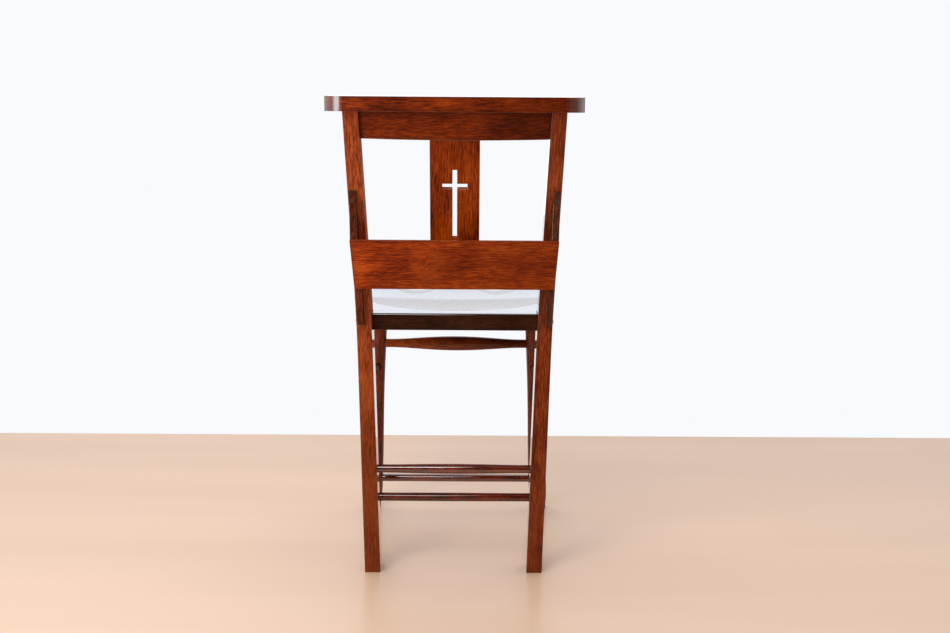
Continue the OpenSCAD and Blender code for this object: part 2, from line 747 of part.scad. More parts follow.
// Pin through the panel into a side board; play makes it a bore
pin_up_share = 0.3;
module panel_pin(play = 0) {
    z = mix_of(panel_low, panel_top, pin_up_share);
    x = half_out(z) - side_board_inset - side_board_t / 2;
    head_h = pin_d / 2;
    translate([x, panel_y(z) + panel_run, z]) rotate([90 - panel_slant, 0, 0]) union() {
        translate([0, 0, -over * (play > 0 ? 1 : 0)])
            cylinder(d = pin_d + 2 * play, h = pin_l + (play > 0 ? end_room + over : 0));
        translate([0, 0, -over * (play > 0 ? 1 : 0)])
            cylinder(d = pin_head_d + 2 * play, h = head_h + over * (play > 0 ? 1 : 0));
    }
}

module panel_pins() { place() color(steel) both_sides() panel_pin(); }

ledge();
crest_rail();
splat();
lower_back_rail();
left_post();
right_post();
seat();
left_front_leg();
right_front_leg();
front_upper_stretcher();
front_lower_stretcher();
rear_upper_stretcher();
rear_lower_stretcher();
left_upper_side_stretcher();
right_upper_side_stretcher();
left_lower_side_stretcher();
right_lower_side_stretcher();
left_pocket_side();
right_pocket_side();
pocket_panel();
pocket_floor();
seat_bolts();
barrel_nuts();
pocket_screws();
panel_pins();
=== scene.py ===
# %% [markdown]
# A choir chair of red-brown stained wood. It is seen from behind, with a ledge on top that carries
# the open book of the singer in the next row, a splat with a cross cut through it, and a slanting
# pocket for hymn books.
# The construction comes ready made, as solids at their real size. This script dresses it: it eases
# the sharp arrises as a joiner does, turns the round pieces on a lathe, carves the seat, and gives
# each piece its grain, stain and lacquer. Every piece takes its size and place from the frame, so
# the frame is loaded first.

# %% Load the frame
import math

import bmesh
import bpy
from mathutils import Matrix, Vector
from mathutils.bvhtree import BVHTree


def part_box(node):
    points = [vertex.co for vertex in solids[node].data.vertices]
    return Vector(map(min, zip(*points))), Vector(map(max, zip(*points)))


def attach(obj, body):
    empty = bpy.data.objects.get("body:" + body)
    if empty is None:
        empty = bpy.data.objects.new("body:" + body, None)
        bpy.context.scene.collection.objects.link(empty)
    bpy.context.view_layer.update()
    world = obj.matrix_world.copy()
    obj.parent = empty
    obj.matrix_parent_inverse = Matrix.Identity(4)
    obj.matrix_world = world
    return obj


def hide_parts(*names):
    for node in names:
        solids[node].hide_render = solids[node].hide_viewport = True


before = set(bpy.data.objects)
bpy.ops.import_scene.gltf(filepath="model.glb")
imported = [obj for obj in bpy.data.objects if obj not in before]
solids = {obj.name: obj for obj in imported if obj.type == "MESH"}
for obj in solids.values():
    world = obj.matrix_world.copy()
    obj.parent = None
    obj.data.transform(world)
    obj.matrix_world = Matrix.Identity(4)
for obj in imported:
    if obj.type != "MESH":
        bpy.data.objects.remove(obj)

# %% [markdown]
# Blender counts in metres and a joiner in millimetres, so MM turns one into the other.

MM = 0.001
UP = Vector((0, 0, 1))
SIDE = Vector((1, 0, 0))
REAR = Vector((0, 1, 0))
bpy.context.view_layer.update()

# %% [markdown]
# The camera stands where the photographer stood: behind the chair, about as high as the ledge, and
# tipped down by ten degrees. Its place was found from things of known size, such as the spread of
# the feet, the seat's rear edge and the ledge. A camera looks along its own -Z, so it is first
# stood upright, then turned to look towards the front of the chair.

# %% Camera
camera_place = Vector((-0.024, 2.366, 0.85))
camera_turn = math.radians(-0.29)
camera_tip = math.radians(9.99)
camera_roll = math.radians(0.39)
camera_data = bpy.data.cameras.new("photo_camera")
camera_data.lens = 50
camera = bpy.data.objects.new("photo_camera", camera_data)
towards_front = Matrix.Rotation(math.pi + camera_turn, 4, "Z")
tipped_down = Matrix.Rotation(math.pi / 2 - camera_tip, 4, "X")
rolled = Matrix.Rotation(camera_roll, 4, "Z")
camera.matrix_world = Matrix.Translation(camera_place) @ towards_front @ tipped_down @ rolled
bpy.context.scene.collection.objects.link(camera)
bpy.context.scene.camera = camera
bpy.context.scene.view_settings.view_transform = "Standard"
print("camera at", tuple(camera_place))

# %% [markdown]
# Materials in Blender are graphs of nodes. One takes many clicks by hand, and many lines in code, so
# a few small helpers keep the recipes short.

# %% Helpers for shader nodes
# A Mix node has sockets for every kind of value. These are the places of its colours.
FIRST_COLOUR, SECOND_COLOUR, MIXED_COLOUR = 6, 7, 2


def put(tree, kind, inputs=None, **settings):
    """Adds a node. Each input is given a plain value, or another node's output to be joined to."""
    made = tree.nodes.new(kind)
    made.location = (180 * len(tree.nodes), 0)
    for name, value in settings.items():
        setattr(made, name, value)
    for socket, value in (inputs or {}).items():
        if isinstance(value, bpy.types.NodeSocket):
            tree.links.new(value, made.inputs[socket])
        else:
            made.inputs[socket].default_value = value
    return made


def sum_of(tree, operation, total, *others):
    """One kind of arithmetic on two or more values, one after the other."""
    for other in others:
        total = put(tree, "ShaderNodeMath", {0: total, 1: other}, operation=operation).outputs[0]
    return total


def mixed(tree, share, first, second):
    """Two colours mixed by a share."""
    return put(tree, "ShaderNodeMix", {0: share, FIRST_COLOUR: first, SECOND_COLOUR: second},
               data_type="RGBA").outputs[MIXED_COLOUR]


def ramp(tree, value, low, high, to_low=0.0, to_high=1.0):
    """A value taken from one range to another, and held at its ends."""
    return put(tree, "ShaderNodeMapRange", {0: value, 1: low, 2: high, 3: to_low, 4: to_high},
               interpolation_type="SMOOTHSTEP").outputs[0]


def new_material(name):
    """An empty material, its tree and its shader."""
    material = bpy.data.materials.new(name)
    material.use_nodes = True
    return material, material.node_tree, material.node_tree.nodes["Principled BSDF"]


print("helpers for shader nodes made")

# %% [markdown]
# Wood grain runs along the board, whichever way the board then stands in the chair. So each piece
# keeps, at every vertex, where that point lay in its own board: x along the grain, y across it and
# z through its thickness, in metres from the middle. The material reads this instead of the place
# in the room, and the grain follows bent posts and slanting legs as it should.
# The group below turns that place into marks of every size. Noise that is stretched along x looks
# like wood fibre: wide and soft it gives clouds and streaks of stain, narrow it gives the ripple,
# the short dark dashes and the pores. Rings about a far-off centre, cut at a slant, give the broad
# flames of a flat-sawn board.

# %% The grain group
# For each mark, the noise's waves per metre along and across the grain, its detail and distortion,
# and the values between which the mark grows from nothing to full.
MARK_NOISE = {
    "Clouds": (9.0, 17.0, 2.0, 0.3, 0.34, 0.66),
    "Mottle": (34.0, 70.0, 2.0, 0.5, 0.36, 0.66),
    "Streaks": (4.0, 85.0, 3.0, 0.4, 0.36, 0.66),
    "Ripple": (62.0, 380.0, 2.0, 0.2, 0.36, 0.66),
    "Dashes": (95.0, 480.0, 1.0, 0.0, 0.60, 0.72),
    "Pores": (110.0, 2100.0, 1.0, 0.0, 0.60, 0.72),
}
FIBRE_NOISE = (26.0, 620.0, 2.0)
WANDER_NOISE = (2.6, 9.0, 1.0)
PITH_SHIFT = (0, 0.021, -0.11)
PITH_TILT = (0, 0.05, 0.09)
RING_WANDER = (0, 0.03, 0.03)
RING_PATTERN = {"Scale": 62.0, "Distortion": 1.6, "Detail": 2.0, "Detail Scale": 0.6}


def new_group(name, inputs, outputs):
    """An empty shader group with named sockets, and its two end nodes."""
    tree = bpy.data.node_groups.new(name, "ShaderNodeTree")
    for way, sockets in (("INPUT", inputs), ("OUTPUT", outputs)):
        for socket, kind in sockets.items():
            tree.interface.new_socket(socket, in_out=way, socket_type=kind)
    return tree, put(tree, "NodeGroupInput"), put(tree, "NodeGroupOutput")


def vector_of(tree, operation, first, second):
    """One step of arithmetic on vectors."""
    return put(tree, "ShaderNodeVectorMath", {0: first, 1: second}, operation=operation).outputs[0]


def stretched_noise(tree, place, along, across, detail, distortion=0.0):
    """Noise with so many waves per metre along the grain and across it."""
    scaled = vector_of(tree, "MULTIPLY", place, (along, across, across))
    return put(tree, "ShaderNodeTexNoise", {"Vector": scaled, "Scale": 1.0, "Detail": detail,
                                            "Distortion": distortion}).outputs[0]


def grain_group():
    """Where a point lies in its board, turned into masks for every kind of mark in the wood."""
    marks = (*MARK_NOISE, "Fibres", "Flames")
    tree, given, result = new_group("grain_masks", {"Place": "NodeSocketVector"},
                                    {name: "NodeSocketFloat" for name in marks})
    place = given.outputs["Place"]
    for name, (*noise, start, full) in MARK_NOISE.items():
        mask = ramp(tree, stretched_noise(tree, place, *noise), start, full)
        tree.links.new(mask, result.inputs[name])
    tree.links.new(stretched_noise(tree, place, *FIBRE_NOISE), result.inputs["Fibres"])
    pith = put(tree, "ShaderNodeMapping",
               {"Vector": place, "Location": PITH_SHIFT, "Rotation": PITH_TILT})
    wander = vector_of(tree, "MULTIPLY", RING_WANDER, stretched_noise(tree, place, *WANDER_NOISE))
    rings = vector_of(tree, "ADD", pith.outputs[0], wander)
    flames = put(tree, "ShaderNodeTexWave", {"Vector": rings, **RING_PATTERN}, wave_type="RINGS",
                 rings_direction="X", wave_profile="SAW").outputs[1]
    tree.links.new(flames, result.inputs["Flames"])
    return tree


grain_masks = grain_group()
print("group:", grain_masks.name, "with", len(grain_masks.nodes), "nodes")

# %% [markdown]
# Stain is wiped off a finished board with a cloth. The cloth reaches the middle and misses the
# borders, so more stain stays along the rims and near the joints. The second group finds how far a
# point is from the nearest rim. On any face of a board one of the three distances is zero, because
# the point is on that face, so the one that counts is the second smallest: the sum of all three,
# less the smallest and the largest.

# %% The rim group
def rim_group():
    """1 at a board's rims, falling to 0 at the given width."""
    sockets = {"Place": "NodeSocketVector", "Half": "NodeSocketVector", "Width": "NodeSocketFloat"}
    tree, given, result = new_group("rim_mask", sockets, {"Rim": "NodeSocketFloat"})
    inside = put(tree, "ShaderNodeVectorMath", {0: given.outputs["Place"]}, operation="ABSOLUTE")
    left = vector_of(tree, "SUBTRACT", given.outputs["Half"], inside.outputs[0])
    x, y, z = put(tree, "ShaderNodeSeparateXYZ", {0: left}).outputs
    smallest = sum_of(tree, "MINIMUM", x, y, z)
    largest = sum_of(tree, "MAXIMUM", x, y, z)
    second = sum_of(tree, "SUBTRACT", sum_of(tree, "ADD", x, y, z), smallest, largest)
    share = sum_of(tree, "DIVIDE", second, given.outputs["Width"])
    tree.links.new(ramp(tree, share, 0.0, 1.0, 1.0, 0.0), result.inputs["Rim"])
    return tree


rim_mask = rim_group()
print("group:", rim_mask.name, "with", len(rim_mask.nodes), "nodes")

# %% [markdown]
# The finish itself is three layers, as on the real chair: the wood, its stain, and a glossy clear
# lacquer. All the marks together make one tone, and a colour ramp turns the tone into stain, from
# nearly black through red-brown to orange, because stain that lies thicker is not only darker but
# also redder. The lacquer is the shader's Coat. It gathers at arrises and on round pieces, where it
# shines most, and wipes thin on the flats. Its mirror image at a glancing look is held back, as on
# a rubbed finish, or every edge would shine white.

# %% Stained and lacquered wood
TONE_SHARES = {"Clouds": 0.23, "Mottle": 0.09, "Streaks": 0.06, "Flames": 0.09, "Ripple": 0.22,
               "Fibres": 0.62}
PLAIN_TONE = 0.5
STAIN_STOPS = (0.0, 0.22, 0.5, 0.85)
DEEP_SHARE = 0.35
DASH_SHADE, PORE_SHADE = 0.6, 0.5
FIBRE_LOW, FIBRE_HIGH = 0.3, 0.8
SMOOTH_WOOD, ROUGH_WOOD = 0.24, 0.40
PORE_DEPTH, PORE_STRENGTH = 0.1 * MM, 0.25
GLANCE_START, GLANCE_END = 0.55, 0.92


def wood_tone(tree, grain, contrast):
    """All the marks added up to one value, half where the stain is plain."""
    tone = PLAIN_TONE
    for name, share in TONE_SHARES.items():
        swing = sum_of(tree, "SUBTRACT", grain[name], PLAIN_TONE)
        tone = sum_of(tree, "ADD", sum_of(tree, "MULTIPLY", swing, share * contrast), tone)
    return tone


def colour_ramp(tree, value, stops):
    """A value turned into a colour, by pairs of place and colour."""
    made = put(tree, "ShaderNodeValToRGB", {0: value})
    elements = made.color_ramp.elements
    while len(elements) < len(stops):
        elements.new(0.5)
    for element, (place, colour) in zip(elements, stops):
        element.position = place
        element.color = (*colour, 1)
    return made.outputs[0]


def lacquer(tree, shader, flat_coat, coat_ior, coat_blur, glance):
    """The clear coat: thick where it has gathered, and held back at a glancing look."""
    gathered = put(tree, "ShaderNodeAttribute", attribute_name="lacquer").outputs["Fac"]
    thick = sum_of(tree, "MAXIMUM", gathered, flat_coat)
    facing = put(tree, "ShaderNodeLayerWeight", {"Blend": 0.5}).outputs["Facing"]
    held = ramp(tree, facing, GLANCE_START, GLANCE_END, 1.0, glance)
    tree.links.new(sum_of(tree, "MULTIPLY", thick, held), shader.inputs["Coat Weight"])
    shader.inputs["Coat Roughness"].default_value = coat_blur
    shader.inputs["Coat IOR"].default_value = coat_ior


def stained_wood(name, colours, contrast=1.0, rim=0.45, rim_width=10 * MM, flat_coat=0.22, coat_ior=1.5,
                 coat_blur=0.07, glance=0.2, base_gloss=0.0, figure=None, paler=None):
    """Wood with red-brown stain and lacquer. figure darkens the colour and paler lights it up."""
    material, tree, shader = new_material(name)
    place, half, plank = (put(tree, "ShaderNodeAttribute", attribute_name=kept).outputs["Vector"]
                          for kept in ("grain", "half", "plank"))
    moved = vector_of(tree, "ADD", place, plank)
    grain = put(tree, "ShaderNodeGroup", {"Place": moved}, node_tree=grain_masks).outputs
    rims = put(tree, "ShaderNodeGroup", {"Place": place, "Half": half, "Width": rim_width},
               node_tree=rim_mask).outputs["Rim"]
    pale, stain, dark = colours
    deep = tuple(c * DEEP_SHARE for c in dark)
    colour = colour_ramp(tree, wood_tone(tree, grain, contrast),
                         list(zip(STAIN_STOPS, (deep, dark, stain, pale))))
    if paler:
        colour = mixed(tree, paler(tree, place), colour, (*pale, 1))
    shades = ((grain["Dashes"], DASH_SHADE), (grain["Pores"], PORE_SHADE), (rims, rim))
    marks = [sum_of(tree, "MULTIPLY", mask, shade) for mask, shade in shades]
    if figure:
        marks.append(figure(tree, place))
    darkest = sum_of(tree, "MAXIMUM", *marks)
    tree.links.new(mixed(tree, darkest, colour, (*deep, 1)), shader.inputs["Base Color"])
    rough = ramp(tree, grain["Fibres"], FIBRE_LOW, FIBRE_HIGH, SMOOTH_WOOD, ROUGH_WOOD)
    tree.links.new(rough, shader.inputs["Roughness"])
    height = sum_of(tree, "SUBTRACT", grain["Fibres"], grain["Pores"])
    bump = put(tree, "ShaderNodeBump",
               {"Height": height, "Strength": PORE_STRENGTH, "Distance": PORE_DEPTH})
    tree.links.new(bump.outputs[0], shader.inputs["Normal"])
    shader.inputs["Specular IOR Level"].default_value = base_gloss
    lacquer(tree, shader, flat_coat, coat_ior, coat_blur, glance)
    return material


print("marks in the stain:", ", ".join(TONE_SHARES))

# %% [markdown]
# One thing makes the panel this chair's own: left of its middle the grain swirls round a small
# knot. The wood is paler there, and the stain has gone in as dark slanting scribbles. They are noise
# as well, but turned, finer, and kept to a small oval patch.

# %% The figure in the panel
KNOT_PLACE = (0.044, 0.0, 0.0)
KNOT_HALF = (0.026, 0.044, 1.0)
KNOT_TURN = math.radians(52)
KNOT_NOISE = (60.0, 260.0, 2.0, 0.8)
KNOT_SHADE, SCRIBBLE_SHADE = 0.12, 0.5
SWIRL_HALF = (0.040, 0.056, 1.0)
SWIRL_SHARE = 0.30
OVAL_CORE = 0.35


def oval_patch(tree, place, half):
    """The way from the knot, and 1 at the knot that falls to 0 at an oval's rim."""
    off = vector_of(tree, "SUBTRACT", place, KNOT_PLACE)
    shared = vector_of(tree, "DIVIDE", off, half)
    far = put(tree, "ShaderNodeVectorMath", {0: shared}, operation="LENGTH").outputs["Value"]
    return off, ramp(tree, far, OVAL_CORE, 1.0, 1.0, 0.0)


def knot(tree, place):
    """Dark scribbles in an oval patch."""
    off, patch = oval_patch(tree, place, KNOT_HALF)
    slanted = put(tree, "ShaderNodeMapping", {"Vector": off, "Rotation": (0, 0, KNOT_TURN)}).outputs[0]
    lines = ramp(tree, stretched_noise(tree, slanted, *KNOT_NOISE), 0.47, 0.62)
    shade = sum_of(tree, "ADD", sum_of(tree, "MULTIPLY", lines, SCRIBBLE_SHADE), KNOT_SHADE)
    return sum_of(tree, "MULTIPLY", shade, patch)


def pale_swirl(tree, place):
    """A paler oval round the knot."""
    return sum_of(tree, "MULTIPLY", oval_patch(tree, place, SWIRL_HALF)[1], SWIRL_SHARE)


print("knot:", round(KNOT_PLACE[0] / MM), "mm left of the panel's middle")

# %% [markdown]
# The posts are darker towards their feet. The left post's upper half is paler: painted light where the
# windows at the left fall on it, with painted shade lower down. The splat is darker towards its top,
# painted shade under the crest rail. The boards, the panel and the upper front bar are darker towards
# their right ends, painted shade on the side away from the windows. All of these are a shade that
# changes along the grain.

# %% Shades along the grain
def shade_along(start, stop, first, last):
    """A figure whose darkness goes from first to last between two places along the grain."""
    def figure(tree, place):
        along = put(tree, "ShaderNodeSeparateXYZ", {0: place}).outputs[0]
        return ramp(tree, along, start, stop, first, last)
    return figure


def darker_of(first, second):
    """Two figures in one."""
    return lambda tree, place: sum_of(tree, "MAXIMUM", first(tree, place), second(tree, place))


# Darker towards the feet of the posts.
darker_feet = shade_along(-0.40, -0.10, 0.42, 0.0)
# Painted light: the left post's upper half is paler where the windows fall on it, and its lower part
# darker.
window_lit_top = shade_along(-0.25, 0.24, 0.71, 0.0)
# Painted shade at the top of the splat, under the crest rail.
shade_under_crest = shade_along(-0.06, 0.09, 0.0, 0.35)
# Painted shade on the right-hand ends, away from the windows at the left.
shaded_right_board = shade_along(-0.13, -0.01, 0.48, 0.0)
shaded_right_panel = shade_along(-0.08, 0.14, 0.43, 0.0)
shaded_right_bar = shade_along(-0.11, 0.10, 0.85, 0.0)
print("shades along the grain: feet, left post, splat and right ends")

# %% [markdown]
# Each piece has a stain of its own, set to how it looks in the room: the seat and the bars are darker
# than the panel and the posts. Some of these colours are painted light and shade: the left post and the
# front bar are paler where the windows at the left light them, and the right pocket side and the lower
# rear bar have darker copies of their stains as painted shade. Each stain has three colours, for its
# thin, plain and thick places.

# %% Stains
STAINS = {
    "panel": ((0.64, 0.112, 0.009), (0.325, 0.040, 0.002), (0.125, 0.012, 0.001)),
    "board": ((0.30, 0.042, 0.003), (0.165, 0.019, 0.001), (0.070, 0.007, 0.001)),
    "splat": ((0.46, 0.072, 0.005), (0.262, 0.032, 0.001), (0.105, 0.011, 0.001)),
    "post": ((0.33, 0.064, 0.015), (0.205, 0.034, 0.008), (0.110, 0.016, 0.004)),
    # The left post's and the front bar's stains are paler, painted window light; the right side's and
    # the low bar's are darker copies, painted shade.
    "left post": ((0.64, 0.135, 0.029), (0.400, 0.073, 0.017), (0.200, 0.032, 0.007)),
    "left side": ((0.22, 0.038, 0.009), (0.110, 0.018, 0.005), (0.040, 0.008, 0.003)),
    "right side": ((0.16, 0.045, 0.018), (0.080, 0.024, 0.011), (0.028, 0.009, 0.005)),
    "seat": ((0.065, 0.018, 0.007), (0.032, 0.009, 0.004), (0.015, 0.004, 0.002)),
    "seat top": ((0.075, 0.020, 0.007), (0.045, 0.012, 0.004), (0.020, 0.006, 0.002)),
    "bar": ((0.24, 0.031, 0.003), (0.115, 0.012, 0.001), (0.036, 0.004, 0.001)),
    "low bar": ((0.19, 0.024, 0.003), (0.090, 0.010, 0.001), (0.028, 0.003, 0.001)),
    "front bar": ((0.58, 0.108, 0.018), (0.340, 0.060, 0.012), (0.120, 0.020, 0.004)),
    "leg": ((0.30, 0.048, 0.008), (0.155, 0.021, 0.004), (0.050, 0.008, 0.002)),
}
print("stains:", len(STAINS))

# %% [markdown]
# Now each kind of piece calls the recipe. Some pieces need two finishes: the tops of the ledge and of
# the seat and the posts' inner faces are polished by use and mirror the room, and the rest is plain.
# The bars have wide dark ends, partly stain gathered in the joint and partly painted shade near the
# posts and legs, and a thick lacquer.

# %% Wood finishes
wood = {
    "panel": stained_wood("panel_stain", STAINS["panel"], figure=darker_of(knot, shaded_right_panel),
                          paler=pale_swirl),
    "board": stained_wood("board_stain", STAINS["board"], contrast=1.2, flat_coat=0.06, coat_ior=2.15,
                          coat_blur=0.34, figure=shaded_right_board),
    "board top": stained_wood("board_polish", STAINS["board"], flat_coat=1.0, glance=0.8,
                              base_gloss=0.5),
    # The splat: darker towards its top, painted shade under the crest rail.
    "splat": stained_wood("splat_stain", STAINS["splat"], contrast=1.2, flat_coat=0.06, coat_ior=2.0,
                          coat_blur=0.3, figure=shade_under_crest),
    "post": stained_wood("post_stain", STAINS["post"], contrast=1.2, figure=darker_feet),
    # The left post: a paler stain and a darker low end, painted light from the windows at the left.
    "left post": stained_wood("left_post_window_lit_stain", STAINS["left post"], contrast=1.2,
                              figure=window_lit_top),
    "post inside": stained_wood("post_polish", STAINS["post"], flat_coat=1.0, coat_ior=1.65,
                                coat_blur=0.04, glance=1.0, base_gloss=0.5, figure=darker_feet),
    "left side": stained_wood("left_side_stain", STAINS["left side"]),
    # The right pocket side: a darker, greyer copy of the left's stain, painted shade and a painted dark
    # reflection.
    "right side": stained_wood("right_side_shaded_stain", STAINS["right side"]),
    "seat": stained_wood("seat_stain", STAINS["seat"]),
    "seat top": stained_wood("seat_polish", STAINS["seat top"], flat_coat=1.0, coat_ior=2.2, glance=0.9,
                             base_gloss=0.3),
    # The bars' wide dark ends: stain gathered in the joint, and painted shade near the posts and legs.
    "bar": stained_wood("bar_stain", STAINS["bar"], rim=0.7, rim_width=35 * MM, flat_coat=1.0,
                        coat_ior=2.05, coat_blur=0.045, glance=0.04),
    # The low rear bar: a darker copy of the bar's stain, painted shade.
    "low bar": stained_wood("low_bar_shaded_stain", STAINS["low bar"], rim=0.7, rim_width=35 * MM,
                            flat_coat=0.7, coat_ior=1.8, coat_blur=0.045, glance=0.04),
    # The front bar: a paler stain, painted window light on its left, and painted shade on its right.
    "front bar": stained_wood("front_bar_window_lit_stain", STAINS["front bar"], flat_coat=0.4, coat_ior=1.75,
                              glance=0.04, figure=shaded_right_bar),
    "leg": stained_wood("leg_stain", STAINS["leg"], flat_coat=0.6, glance=0.1),
}
print("wood finishes:", ", ".join(wood))

# %% [markdown]
# The bolts are bright zinc plate, and the wood screws and pins are older, duller steel, whose colour is
# set nearly black, partly as painted shade for how dark they look in their holes. Handling and driver
# tips leave fine scratches on them, so the roughness is noise that is stretched in one direction. The
# colour stays almost even.

# %% Metals
SCRATCHES = (300.0, 4000.0, 2.0)
SPOTS = (600.0, 600.0, 2.0)
SPOT_SHADE = 0.6


def plain_metal(name, colour, smooth, rough):
    """Metal with brushed roughness and faint spots."""
    material, tree, shader = new_material(name)
    place = put(tree, "ShaderNodeTexCoord").outputs["Object"]
    scratches = stretched_noise(tree, place, *SCRATCHES)
    spots = stretched_noise(tree, place, *SPOTS)
    dull = tuple(c * SPOT_SHADE for c in colour)
    tree.links.new(mixed(tree, ramp(tree, spots, 0.5, 0.75), (*colour, 1), (*dull, 1)),
                   shader.inputs["Base Color"])
    tree.links.new(ramp(tree, scratches, 0.3, 0.7, smooth, rough), shader.inputs["Roughness"])
    shader.inputs["Metallic"].default_value = 1.0
    return material


bright_zinc = plain_metal("bright_zinc", (0.66, 0.65, 0.62), 0.18, 0.45)
# Nearly black, partly painted shade for how dark the screws and pins look in their holes.
shaded_dull_steel = plain_metal("shaded_dull_steel", (0.075, 0.068, 0.062), 0.16, 0.34)
print("metal finishes:", bright_zinc.name, shaded_dull_steel.name)

# %% [markdown]
# Now the tools of the workshop. A solid from the frame is a mesh of loose triangles. To plane its
# arrises, a copy is made, its doubled vertices are merged, and triangles in one plane are dissolved
# into whole faces. The solid in the frame itself is never touched. A Bevel modifier could round the
# arrises, but the operator takes a list of edges, so each piece can say which ones it means.

# %% Copy a solid and ease its arrises
SAME_PLACE = 0.01 * MM
SAME_PLANE = math.radians(0.4)
ARRIS_TURN = math.radians(35)
BORE_RIM = 7.5 * MM


def joined_copy(node):
    """A copy of a solid as a bmesh with whole flat faces."""
    bm = bmesh.new()
    bm.from_mesh(solids[node].data)
    bm.faces.layers.float.new("lacquer")
    bmesh.ops.remove_doubles(bm, verts=bm.verts[:], dist=SAME_PLACE)
    bmesh.ops.dissolve_limit(bm, angle_limit=SAME_PLANE, verts=bm.verts[:], edges=bm.edges[:])
    return bm


def ease(bm, width, wanted, segments=3):
    """Rounds the outward arrises for which wanted(edge) is true, and lacquers them thickly."""
    arrises = [e for e in bm.edges if e.is_manifold and e.is_convex
               and e.calc_face_angle() > ARRIS_TURN and wanted(e)]
    rounded = bmesh.ops.bevel(bm, geom=arrises, offset=width, offset_type="OFFSET", segments=segments,
                              profile=0.5, affect="EDGES", material=-1, clamp_overlap=True)
    layer = bm.faces.layers.float["lacquer"]
    for face in rounded["faces"]:
        face[layer] = 1.0
    print(len(arrises), "arrises eased by", round(width / MM, 1), "mm")


def no_bore(edge):
    """True for long edges, and so not for the rims of small bores."""
    return edge.calc_length() > BORE_RIM


def middle_of(edge):
    """Where the middle of an edge lies."""
    return (edge.verts[0].co + edge.verts[1].co) / 2


bm = joined_copy("ledge")
print("ledge:", len(solids["ledge"].data.polygons), "triangles become", len(bm.faces), "faces")
bm.free()

# %% [markdown]
# Each finished mesh becomes a piece of the chair here. Three things are stored for the grain: the
# point's place in its board, half the board's size, and a shift of its own for each piece, so that
# no two boards look cut from the same spot of the same tree. Weighted normals keep the wide faces
# flat and let only the small rounds at the arrises catch the light.

# %% Turn a bmesh into a piece
SHARP_TURN = math.radians(50)
PLANK_SHIFT = Vector((0.37, 0.113, 0.071))
planks_used = 0


def store(mesh, name, rows):
    """Keeps one vector per vertex under a name."""
    layer = mesh.attributes.new(name, "FLOAT_VECTOR", "POINT")
    layer.data.foreach_set("vector", [c for row in rows for c in row])


def extent(points):
    """Lowest and highest corner of some points."""
    rows = list(zip(*points))
    return Vector(map(min, rows)), Vector(map(max, rows))


def as_object(bm, name, materials):
    """A linked object with a bmesh's mesh."""
    mesh = bpy.data.meshes.new(name)
    bm.to_mesh(mesh)
    bm.free()
    for material in materials:
        mesh.materials.append(material)
    made = bpy.data.objects.new(name, mesh)
    bpy.context.scene.collection.objects.link(made)
    return made


def finish(bm, name, node, materials, places=None, half=None):
    """Makes a piece. places(point) gives a point's place in its board."""
    global planks_used
    planks_used += 1
    bmesh.ops.recalc_face_normals(bm, faces=bm.faces[:])
    for face in bm.faces:
        face.smooth = True
    piece = as_object(bm, name, materials)
    mesh = piece.data
    mesh.set_sharp_from_angle(angle=SHARP_TURN)
    if places:
        rows = [places(v.co) for v in mesh.vertices]
        low, high = extent(rows)
        store(mesh, "grain", [row - (low + high) / 2 for row in rows])
        half = (high - low) / 2
    if half:
        store(mesh, "half", [half] * len(mesh.vertices))
        store(mesh, "plank", [PLANK_SHIFT * planks_used] * len(mesh.vertices))
    even = piece.modifiers.new("even_shading", "WEIGHTED_NORMAL")
    even.keep_sharp = True
    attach(piece, "root")
    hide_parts(node)
    print(name + ":", len(mesh.polygons), "faces")


def lying_along(along, across):
    """The place in a straight board whose grain runs along one direction."""
    through = along.cross(across)
    return lambda p: Vector((p.dot(along), p.dot(across), p.dot(through)))


print("pieces made so far:", planks_used)

# %% [markdown]
# The ledge is a plain board with round rear corners. A router ran round both of its rims, so they
# are rounder than the other arrises. The sockets for the posts, inside the underside, stay sharp:
# the rounded edges are picked by how near they lie to the outline. The lacquer lies thicker round
# the two corners, so there it grows with the turn of the faces.

# %% Ledge
LEDGE_ROUND = 3.2 * MM
LEDGE_CORNER = 33 * MM
TOP_SLOPE = 0.9
CORNER_GAIN = 4.0
ledge_low, ledge_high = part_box("ledge")


def near_outline(edge):
    """True for edges that lie near the sides of the ledge's box."""
    to_low, to_high = middle_of(edge) - ledge_low, ledge_high - middle_of(edge)
    return min(to_low.x, to_low.y, to_high.x, to_high.y) < LEDGE_CORNER


bm = joined_copy("ledge")
layer = bm.faces.layers.float["lacquer"]
for face in bm.faces:
    face[layer] = min(1.0, CORNER_GAIN * min(abs(face.normal.x), abs(face.normal.y)))
ease(bm, LEDGE_ROUND, near_outline, segments=4)
bm.normal_update()
for face in bm.faces:
    face.material_index = int(face.normal.z > TOP_SLOPE)
finish(bm, "ledge_board", "ledge", [wood["board"], wood["board top"]], places=lying_along(SIDE, REAR))

# %% [markdown]
# The back leans, and its grain leans with it. The lean could be typed in as an angle, but read from
# the splat it stays right when the frame changes: slices low and high on the splat give its middle
# there. A slice is a bisect whose cut points or edges are kept.

# %% The lean of the back
def sliced(bm, point, normal, kind, **settings):
    """Slices a bmesh with a plane, and gives the vertices or the edges of the cut."""
    cut = bmesh.ops.bisect_plane(bm, geom=bm.verts[:] + bm.edges[:] + bm.faces[:], plane_co=point,
                                 plane_no=normal, **settings)["geom_cut"]
    return [g for g in cut if isinstance(g, kind)]


def slice_points(bm, point, normal):
    """Where a plane meets the surface."""
    return [v.co.copy() for v in sliced(bm, point, normal, bmesh.types.BMVert)]


def middle_at(bm, point, normal):
    """The middle of a slice."""
    low, high = extent(slice_points(bm, point, normal))
    return (low + high) / 2


